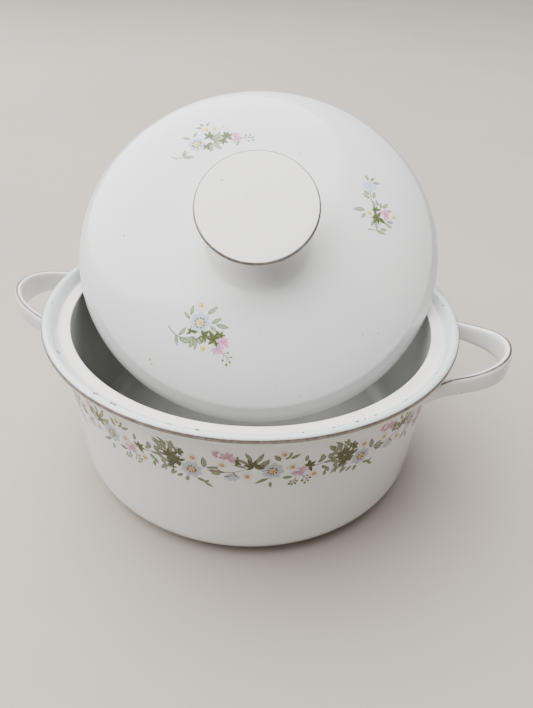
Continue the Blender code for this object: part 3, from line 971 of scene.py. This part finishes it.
COLOURS = {
    "vein": ((0.20, 0.25, 0.15), (0.14, 0.18, 0.10)),
    "daisy_line": ((0.72, 0.66, 0.48), (0.64, 0.57, 0.40)),
    "scuff": ((0.76, 0.71, 0.67), (0.70, 0.65, 0.61)),
    "mark": ((0.13, 0.145, 0.155), (0.07, 0.08, 0.09)),
    "speck": ((0.40, 0.30, 0.20), (0.27, 0.19, 0.12)),
    "sage": ((0.45, 0.52, 0.37), (0.36, 0.44, 0.29)),
    "sage_deep": ((0.155, 0.21, 0.095), (0.11, 0.155, 0.062)),
    "olive": ((0.165, 0.195, 0.060), (0.110, 0.135, 0.040)),
    "olive_deep": ((0.085, 0.105, 0.030), (0.060, 0.075, 0.022)),
    "blue": ((0.59, 0.65, 0.76), (0.52, 0.59, 0.72)),
    "blue_deep": ((0.46, 0.53, 0.68), (0.40, 0.47, 0.63)),
    "yellow": ((0.78, 0.70, 0.30), (0.72, 0.62, 0.24)),
    "gold": ((0.66, 0.50, 0.14), (0.58, 0.42, 0.10)),
    "white": ((0.88, 0.87, 0.82), (0.82, 0.81, 0.75)),
    "pink": ((0.76, 0.40, 0.57), (0.70, 0.32, 0.50)),
    "pink_deep": ((0.60, 0.22, 0.40), (0.52, 0.17, 0.33)),
    "twig": ((0.27, 0.22, 0.13), (0.19, 0.16, 0.09)),
    "bud": ((0.25, 0.25, 0.13), (0.17, 0.165, 0.08)),
}

# The garland takes darker, greyer copies of the lid's print colours: painted shade for the bowl's
# wall.
GARLAND_COLOURS_PAINTED_SHADE = {
    "vein": ((0.135, 0.145, 0.075), (0.095, 0.105, 0.05)),
    "daisy_line": ((0.66, 0.60, 0.50), (0.58, 0.52, 0.42)),
    "sage": ((0.30, 0.315, 0.22), (0.225, 0.245, 0.16)),
    "sage_deep": ((0.165, 0.175, 0.105), (0.115, 0.125, 0.07)),
    "olive": ((0.13, 0.13, 0.048), (0.09, 0.092, 0.034)),
    "olive_deep": ((0.075, 0.078, 0.03), (0.05, 0.053, 0.022)),
    "blue": ((0.50, 0.51, 0.56), (0.44, 0.45, 0.505)),
    "blue_deep": ((0.40, 0.41, 0.47), (0.345, 0.355, 0.42)),
    "yellow": ((0.56, 0.43, 0.24), (0.48, 0.36, 0.19)),
    "gold": ((0.50, 0.30, 0.10), (0.42, 0.24, 0.08)),
    "white": ((0.76, 0.72, 0.65), (0.70, 0.655, 0.58)),
    "pink": ((0.59, 0.37, 0.45), (0.53, 0.31, 0.39)),
    "pink_deep": ((0.48, 0.24, 0.33), (0.41, 0.19, 0.28)),
    "twig": ((0.19, 0.16, 0.09), (0.13, 0.11, 0.06)),
    "bud": ((0.22, 0.20, 0.12), (0.15, 0.135, 0.08)),
}


def make_print(art, prefix, body, colours=COLOURS):
    for colour, (verts, normals, faces) in art.meshes.items():
        material = transfer(prefix + "_" + colour + "_print", *colours[colour])
        add_piece(prefix + "_" + colour, verts, faces, [material], body, normals=normals)


# Handles

def strap_half_path(steps):
    """Centreline of one arm in plan, from inside the wall out to the middle of the loop."""
    angle = FLARE_ANGLE
    root = Vector((FLARE_RADIUS * cos(angle), FLARE_RADIUS * sin(angle)))
    along_wall = Vector((sin(angle), -cos(angle)))
    arm = Vector(ARM_START)
    outward = Vector((cos(ARM_DIRECTION), sin(ARM_DIRECTION)))
    tip = Vector((LOOP_REACH, 0.0))
    flare = bezier(root, root + FLARE_PULL * along_wall, arm - ARM_INNER_PULL * outward, arm, steps)
    loop = bezier(arm, arm + ARM_OUTER_PULL * outward, tip + Vector((0.0, LOOP_PULL)), tip, steps)
    return [root] + flare, loop


def blend(first, second, share):
    smooth = share * share * (3.0 - 2.0 * share)
    return first + (second - first) * smooth


def strap_stations(steps):
    """(point, band centre height, half height, half thickness) along the whole strap."""
    flare, loop = strap_half_path(steps)
    half = []
    for index, point in enumerate(flare):
        share = index / (len(flare) - 1)
        sizes = [blend(a, b, share) for a, b in zip(FLARE_BAND, ARM_BAND)]
        half.append((point, *sizes, blend(FLARE_HALF_THICKNESS, STRAP_HALF_THICKNESS, share)))
    for index, point in enumerate(loop, start=1):
        share = index / len(loop)
        sizes = [blend(a, b, share) for a, b in zip(ARM_BAND, LOOP_BAND)]
        half.append((point, *sizes, STRAP_HALF_THICKNESS))
    mirrored = [(Vector((point[0], -point[1])), *sizes) for point, *sizes in half[-2::-1]]
    return half + mirrored


def strap_frames(steps):
    """The stations with the level direction that points away from the bowl's middle."""
    stations = strap_stations(steps)
    frames = []
    for index, (point, height, half_height, half_thickness) in enumerate(stations):
        before = stations[max(index - 1, 0)][0]
        after = stations[min(index + 1, len(stations) - 1)][0]
        direction = (after - before).normalized()
        across = Vector((direction[1], -direction[0]))
        if across.dot(point) < 0.0:
            across = -across
        frames.append((point, across, height, half_height, half_thickness))
    return frames


def signed_power(value, power):
    return copysign(abs(value) ** power, value)


def strap_point(frame_at, angle, lift=0.0):
    """A place on the strap's skin. Angle 0 faces away from the bowl and 90 degrees is the top."""
    point, across, height, half_height, half_thickness = frame_at
    power = 2.0 / STRAP_ROUNDNESS
    outward, upward = cos(angle), sin(angle)
    wide = signed_power(outward, power) * half_thickness
    tall = signed_power(upward, power) * half_height
    slope_wide = signed_power(outward, 2.0 - power) / half_thickness
    slope_tall = signed_power(upward, 2.0 - power) / half_height
    normal = Vector((across[0] * slope_wide, across[1] * slope_wide, slope_tall)).normalized()
    skin = Vector((point[0] + across[0] * wide, point[1] + across[1] * wide, height + tall))
    return skin + normal * lift


def even_angles(count):
    """Angles round the strap's section that space its points evenly round its skin."""
    mean_half_height = 0.0055
    sample = (Vector((0.0, 0.0)), Vector((1.0, 0.0)), 0.0, mean_half_height, STRAP_HALF_THICKNESS)
    fine = 2000
    places = [strap_point(sample, tau * i / fine) for i in range(fine + 1)]
    lengths = [0.0]
    for first, second in zip(places, places[1:]):
        lengths.append(lengths[-1] + (second - first).length)
    angles = []
    index = 0
    for step in range(count):
        goal = lengths[-1] * step / count
        while lengths[index + 1] < goal:
            index += 1
        angles.append(tau * index / fine)
    return angles


def make_handle(name, turn, material, line_material):
    frames = strap_frames(STRAP_STEPS)
    angles = even_angles(STRAP_SIDES)
    spin = Matrix.Rotation(turn, 4, "Z")
    verts = [spin @ strap_point(frame_at, angle) for frame_at in frames for angle in angles]
    faces = tube_faces(len(frames), STRAP_SIDES)
    handle = add_piece(name + "_glazed", verts, faces, [material], "bowl")
    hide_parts(name)
    line_frames = frames[STRAP_LINE_MARGIN:-STRAP_LINE_MARGIN]
    add_strap_line(name + "_line", line_frames, spin, line_material)


def add_strap_line(name, frames, spin, material):
    """The platinum line along the strap's top edge, from its middle out to its outer side."""
    angles = [radians(angle) for angle in STRAP_LINE_ANGLES]
    verts = []
    for frame_at in frames:
        verts += [spin @ strap_point(frame_at, a, STRAP_LINE * MM) for a in angles]
        verts += [spin @ strap_point(frame_at, a, -STRAP_LINE * MM) for a in reversed(angles)]
    faces = tube_faces(len(frames), 2 * len(angles))
    add_piece(name, verts, faces, [material], "bowl")


# Pieces

def make_bowl(bowl_glaze, clay, inside_glaze_painted_shade):
    inside = inside_profile()
    seat = seat_profile()
    lip = lip_profile()
    rim = rim_profile()
    wall = wall_profile()
    foot = foot_profile()
    profile = inside + seat + lip[:-1] + rim + wall + foot
    regions = []
    for part, region in ((inside[1:], 2), (seat, 1), (lip[:-1], 0), (rim, 0), (wall, 0)):
        regions += [region] * len(part)
    regions += [0, 0] + [1] * (2 * FOOT_EDGE_STEPS + FOOT_FLAT_STEPS)
    regions += [0] * (len(profile) - 1 - len(regions))
    verts, faces, indices = turned(profile, regions)
    materials = [bowl_glaze, clay, inside_glaze_painted_shade]
    bowl = add_piece("bowl_glazed", verts, faces, materials, "bowl", indices)
    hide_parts("bowl")


def make_rim_line(material):
    """The platinum line round the outer edge of the rim."""
    loop = line_loop(rim_profile()[RIM_LINE_SPAN], RIM_LINE)
    verts, faces, indices = turned(loop, [0] * len(loop), closed=True)
    add_piece("rim_line", verts, faces, [material], "bowl", indices)


def make_lid(lid_glaze, clay):
    outside = lid_outside(0.0)
    inside = lid_outside(LID_THICKNESS)
    under = Vector((inside[0][0], 0.0))
    edge = Vector((outside[0][0], 0.0))
    rounded = [p for p in outside if p[1] > LID_EDGE_ROUNDING]
    hollow = [p for p in inside if p[1] > LID_EDGE_ROUNDING]
    outer_corner = bezier(rounded[0], edge, edge, (edge[0] - LID_EDGE_ROUNDING, 0.0), 5)
    inner_corner = bezier((under[0] + LID_EDGE_ROUNDING, 0.0), under, under, hollow[0], 5)
    flat = along(outer_corner[-1], (under[0] + LID_EDGE_ROUNDING, 0.0), 4)
    profile = list(reversed(rounded)) + outer_corner + flat + inner_corner + hollow[1:]
    bare_start = len(rounded) + 1
    bare = range(bare_start, bare_start + LID_BARE_STEPS)
    regions = [1 if index in bare else 0 for index in range(len(profile) - 1)]
    verts, faces, indices = turned(profile, regions, LID_PLACE)
    faces = flipped(faces)
    lid = add_piece("lid_glazed", verts, faces, [lid_glaze, clay], "lid", indices)
    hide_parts("lid_dome")


def make_knob(material, line_material):
    profile = knob_profile()
    sunk = Vector((KNOB_FLARE_RADIUS - KNOB_SUNK[0], profile[-1][1] - KNOB_SUNK[1]))
    profile += [sunk] + along(sunk, (0.0, sunk[1]), 3)
    verts, faces, indices = turned(profile, [0] * len(profile), LID_PLACE)
    faces = flipped(faces)
    knob = add_piece("knob_glazed", verts, faces, [material], "lid", indices)
    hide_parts("lid_knob")
    loop = line_loop(profile[KNOB_TOP_STEPS + 1:KNOB_TOP_STEPS + KNOB_RIM_STEPS], KNOB_LINE)
    verts, faces, indices = turned(loop, [0] * len(loop), LID_PLACE, closed=True)
    faces = flipped(faces)
    add_piece("knob_line", verts, faces, [line_material], "lid", indices)


# Stage

FLOOR_RADIUS = 9.0
FLOOR_SIDES = 96
ROOM_BRIGHT_SIDE = (-0.35, 0.12, 0.92)
ROOM_LEVELS = {"From Min": 0.40, "From Max": 0.95, "To Min": 0.12, "To Max": 3.2}
ROOM_COLOUR = (0.96, 0.975, 0.99, 1.0)
KEY_PLACE = (-0.85, 0.24, 1.75)
KEY_TARGET = (0.0, 0.0, 0.08)
KEY_SIZE = 3.2
KEY_POWER = 104.0
KEY_COLOUR = (1.0, 0.985, 0.965)


def make_floor():
    graph = Graph("studio_floor")
    tone = graph.ramp(graph.noise(1.5, 4.0), 0.3, 0.7)
    colour = graph.mix(tone, (0.42, 0.37, 0.32), (0.39, 0.345, 0.30))
    graph.paint(colour)
    graph.rough(graph.noise(40.0), 0.3, 0.7, 0.55, 0.70)
    graph.bump(graph.noise(500.0), 0.05, 0.0002)
    mesh = bpy.data.meshes.new("studio_floor")
    turns = [tau * i / FLOOR_SIDES for i in range(FLOOR_SIDES)]
    ring = [(FLOOR_RADIUS * cos(a), FLOOR_RADIUS * sin(a), 0.0) for a in turns]
    mesh.from_pydata(ring, [], [tuple(range(FLOOR_SIDES))])
    mesh.materials.append(graph.set(IOR=1.4))
    add_object("studio_floor", mesh)


def add_area(name, place, target, size, power, colour):
    light = bpy.data.lights.new(name, "AREA")
    light.shape = "DISK"
    light.size = size
    light.energy = power
    light.color = colour
    lamp = add_object(name, light)
    lamp.location = place
    lamp.rotation_euler = (Vector(target) - Vector(place)).to_track_quat("-Z", "Y").to_euler()


def light_scene():
    """A soft key above on the left, in a room that is bright overhead and dark low down."""
    world = bpy.data.worlds.new("studio")
    bpy.context.scene.world = world
    world.use_nodes = True
    nodes, links = world.node_tree.nodes, world.node_tree.links
    where = nodes.new("ShaderNodeTexCoord")
    side = nodes.new("ShaderNodeVectorMath")
    side.operation = "DOT_PRODUCT"
    side.inputs[1].default_value = Vector(ROOM_BRIGHT_SIDE).normalized()
    links.new(where.outputs["Generated"], side.inputs[0])
    level = nodes.new("ShaderNodeMapRange")
    level.interpolation_type = "SMOOTHSTEP"
    for socket, value in ROOM_LEVELS.items():
        level.inputs[socket].default_value = value
    links.new(side.outputs["Value"], level.inputs["Value"])
    background = nodes["Background"]
    background.inputs["Color"].default_value = ROOM_COLOUR
    links.new(level.outputs["Result"], background.inputs["Strength"])
    add_area("key", KEY_PLACE, KEY_TARGET, KEY_SIZE, KEY_POWER, KEY_COLOUR)


CAMERA_PLACE = (0.0527, -0.2665, 0.2454)
CAMERA_HEADING = radians(9.426)
CAMERA_PITCH = radians(35.0)
CAMERA_ROLL = radians(2.865)
CAMERA_LENS = 30.51


def add_camera():
    data = bpy.data.cameras.new("camera")
    data.sensor_width = 36.0
    data.lens = CAMERA_LENS
    data.clip_start = 0.01
    camera = add_object("camera", data)
    camera.matrix_world = (
        Matrix.Translation(CAMERA_PLACE)
        @ Matrix.Rotation(CAMERA_HEADING, 4, "Z")
        @ Matrix.Rotation(pi / 2 - CAMERA_PITCH, 4, "X")
        @ Matrix.Rotation(CAMERA_ROLL, 4, "Z")
    )
    bpy.context.scene.camera = camera


def main():
    bowl_glaze = glaze("bowl_glaze", (0.80, 0.79, 0.78), (0.76, 0.76, 0.75),
                       (0.30, 0.24, 0.18), 0.010, rim=((0.64, 0.69, 0.685), 0.0826, 0.0862))
    handle_glaze = glaze("handle_glaze", (0.80, 0.80, 0.79), (0.75, 0.77, 0.77),
                         (0.30, 0.24, 0.18), 0.010)
    # The inside is the same white porcelain, coloured dark grey here: painted shade for the hollow
    # under the lid.
    inside_glaze_painted_shade = glaze("inside_glaze_painted_shade", (0.33, 0.34, 0.325), (0.295, 0.305, 0.29),
                         (0.25, 0.22, 0.18), 0.010, gloss=(0.45, 0.60), coat=0.0)
    lid_glaze = glaze("lid_glaze", (0.81, 0.81, 0.80), (0.77, 0.78, 0.775),
                      (0.26, 0.20, 0.13), 0.030)
    # The knob's glaze is whiter and warmer than the lid's: painted light for its brightly lit top.
    knob_glaze_painted_light = glaze("knob_glaze_painted_light", (0.93, 0.90, 0.87), (0.90, 0.87, 0.84),
                       (0.40, 0.30, 0.22), 0.080)
    clay = bare_clay("seat_clay", (0.80, 0.765, 0.735), (0.75, 0.71, 0.68), (0.62, 0.54, 0.46))
    edge_clay = bare_clay("lid_edge_clay", (0.80, 0.77, 0.74), (0.75, 0.72, 0.69),
                          (0.62, 0.54, 0.46))
    # The platinum lines are given dark colours, the handles' line darkest: painted dark reflection.
    line = platinum("platinum_line", (0.21, 0.185, 0.17), (0.33, 0.30, 0.275), 0.85)
    handle_line = platinum("handle_platinum_line", (0.105, 0.09, 0.08), (0.20, 0.178, 0.16), 0.6)
    knob_line = platinum("knob_platinum_line", (0.19, 0.165, 0.15), (0.31, 0.28, 0.255), 0.8)
    make_bowl(bowl_glaze, clay, inside_glaze_painted_shade)
    make_rim_line(line)
    make_handle("handle_right", 0.0, handle_glaze, handle_line)
    make_handle("handle_left", pi, handle_glaze, handle_line)
    make_lid(lid_glaze, edge_clay)
    make_knob(knob_glaze_painted_light, knob_line)
    lid_print = Print(on_dome, 11)
    front_sprig(lid_print)
    back_sprig(lid_print)
    side_sprig(lid_print)
    draw_lid_specks(lid_print)
    make_print(lid_print, "lid_print", "lid")
    bowl_print = Print(on_wall, 23)
    for repeat in range(GARLAND_REPEATS):
        angle = GARLAND_FIRST + repeat * tau / GARLAND_REPEATS
        garland_repeat(bowl_print, angle * GARLAND_RADIUS)
    make_print(bowl_print, "bowl_print", "bowl", GARLAND_COLOURS_PAINTED_SHADE)
    rim_marks = Print(on_lip, 5)
    draw_rim_marks(rim_marks)
    make_print(rim_marks, "rim", "bowl")
    knob_marks = Print(on_knob, 8)
    draw_knob_marks(knob_marks)
    make_print(knob_marks, "knob", "lid")
    make_floor()
    light_scene()
    add_camera()


main()
bpy.context.view_layer.update()
